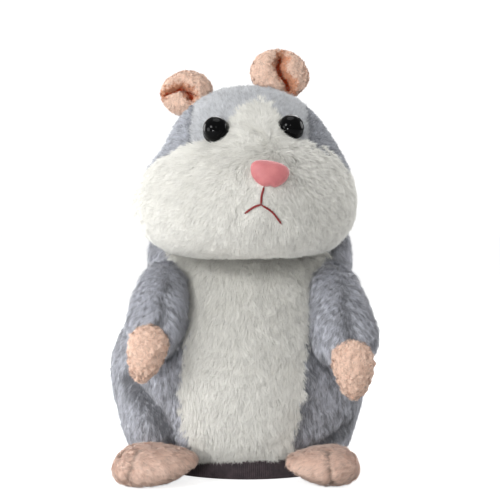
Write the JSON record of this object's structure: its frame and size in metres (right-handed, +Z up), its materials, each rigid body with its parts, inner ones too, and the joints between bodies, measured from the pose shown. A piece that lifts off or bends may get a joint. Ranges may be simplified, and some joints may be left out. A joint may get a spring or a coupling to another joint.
{
  "type": "interactive plush pet",
  "caption": "Sitting plush rodent toy on a round base, with a geared nodding body, bead eyes, swinging arms, speaker, slide switch and battery bay.",
  "frame": {"origin": "on the resting plane, at the middle of the underside of the base", "axes": "+Z up along the longest extent, -Y the way the face looks, +X towards the viewer's right"},
  "size_m": [0.1015, 0.0991, 0.1593],
  "materials": {
    "grey_plush": "matte",
    "peach_plush": "matte",
    "dark_plastic": "matte",
    "white_plastic": "satin",
    "gear_plastic": "satin",
    "steel": "satin",
    "cell_wrap": "gloss",
    "board": "satin",
    "bead_black": "gloss",
    "nose_pink": "satin",
    "red_thread": "matte"
  },
  "bodies": {
    "base": {"base_plate": "dark_plastic", "battery_box": "white_plastic", "cell_1": "cell_wrap", "contact_front_1": "steel", "contact_back_1": "steel", "cell_2": "cell_wrap", "contact_front_2": "steel", "contact_back_2": "steel", "cell_3": "cell_wrap", "contact_front_3": "steel", "contact_back_3": "steel", "switch_body": "white_plastic", "chassis_front": "white_plastic", "chassis_back": "white_plastic", "speaker_basket": "steel", "speaker_cone": "dark_plastic", "speaker_magnet": "steel", "circuit_board": "board", "sound_chip": "dark_plastic", "capacitor": "steel", "microphone": "steel", "gear_bracket_left": "white_plastic", "gear_bracket_right": "white_plastic", "gearbox_spacer": "steel", "axle_a": "steel", "axle_b": "steel", "motor_can": "steel", "motor_cap": "white_plastic", "lower_skin": "grey_plush", "foot_left": "peach_plush", "foot_right": "peach_plush"},
    "upper": {"rocker_frame": "white_plastic", "pivot_axle": "steel", "sector_gear": "gear_plastic", "head_core": "white_plastic", "core_screw_left": "steel", "core_screw_right": "steel", "head_skin": "grey_plush", "torso_skin": "grey_plush", "eye_left": "bead_black", "eye_right": "bead_black", "eye_washer_left": "white_plastic", "eye_washer_right": "white_plastic", "nose": "nose_pink", "nose_washer": "white_plastic", "mouth_thread": "red_thread", "ear_left": "peach_plush", "ear_right": "peach_plush"},
    "arm_left_body": {"arm_left": "grey_plush", "paw_left": "peach_plush"},
    "arm_right_body": {"arm_right": "grey_plush", "paw_right": "peach_plush"},
    "gear_b_body": {"gear_b": "gear_plastic"},
    "gear_a_body": {"gear_a": "gear_plastic"},
    "motor_rotor": {"motor_pinion": "gear_plastic"},
    "switch": {"switch_knob": "white_plastic"},
    "door": {"battery_door": "dark_plastic", "door_screw": "steel"}
  },
  "joints": [
    {"name": "body_nod", "type": "hinge", "parent": "base", "child": "upper", "pos_m": [0, 0, 0.05], "axis": [1, 0, 0], "range_deg": [-8, 8]},
    {"name": "gear_b_spin", "type": "hinge", "parent": "base", "child": "gear_b_body", "pos_m": [0, 0.01655, 0.03612], "axis": [1, 0, 0], "range_deg": [-41, 41]},
    {"name": "gear_a_spin", "type": "hinge", "parent": "base", "child": "gear_a_body", "pos_m": [0, 0.01455, 0.02479], "axis": [1, 0, 0], "range_deg": [-146, 146]},
    {"name": "motor_spin", "type": "hinge", "parent": "base", "child": "motor_rotor", "pos_m": [0, 0.00477, 0.02687], "axis": [1, 0, 0], "range_deg": [-436, 436]},
    {"name": "arm_left_swing", "type": "hinge", "parent": "upper", "child": "arm_left_body", "pos_m": [-0.031, -0.024, 0.067], "axis": [-1, 0, 0], "range_deg": [0, 50]},
    {"name": "arm_right_swing", "type": "hinge", "parent": "upper", "child": "arm_right_body", "pos_m": [0.031, -0.024, 0.067], "axis": [-1, 0, 0], "range_deg": [0, 50]},
    {"name": "switch_slide", "type": "slide", "parent": "base", "child": "switch", "axis": [0, 1, 0], "range_m": [0, 0.0035]},
    {"name": "battery_door_tilt", "type": "hinge", "parent": "base", "child": "door", "pos_m": [0, -0.02075, 0.00085], "axis": [-1, 0, 0], "range_deg": [0, 100]}
  ],
  "couplings": [
    {"joint": "gear_b_spin", "follows": "body_nod", "ratio": -5},
    {"joint": "gear_a_spin", "follows": "body_nod", "ratio": 18},
    {"joint": "motor_spin", "follows": "body_nod", "ratio": -54}
  ]
}
